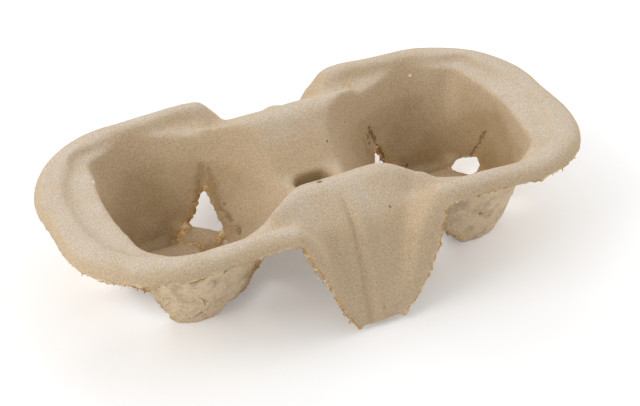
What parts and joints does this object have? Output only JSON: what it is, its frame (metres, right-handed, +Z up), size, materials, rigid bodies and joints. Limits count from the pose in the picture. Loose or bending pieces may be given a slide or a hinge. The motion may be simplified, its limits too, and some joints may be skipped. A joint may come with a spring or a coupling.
{
  "type": "cardboard cup carrier",
  "caption": "Moulded-pulp carrier tray with deep cup pockets, tear openings, a raised torn rim and tongues between the rim ends",
  "frame": {"origin": "middle of the footprint, on the ground plane that the feet stand on", "axes": "+X along the tray through both cup pockets, +Y across the tray, +Z up"},
  "size_m": [0.2128, 0.1172, 0.0478],
  "materials": {
    "pulp": "matt, speckled, fibrous"
  },
  "bodies": {
    "root": {"cup_carrier": "pulp"}
  },
  "joints": []
}
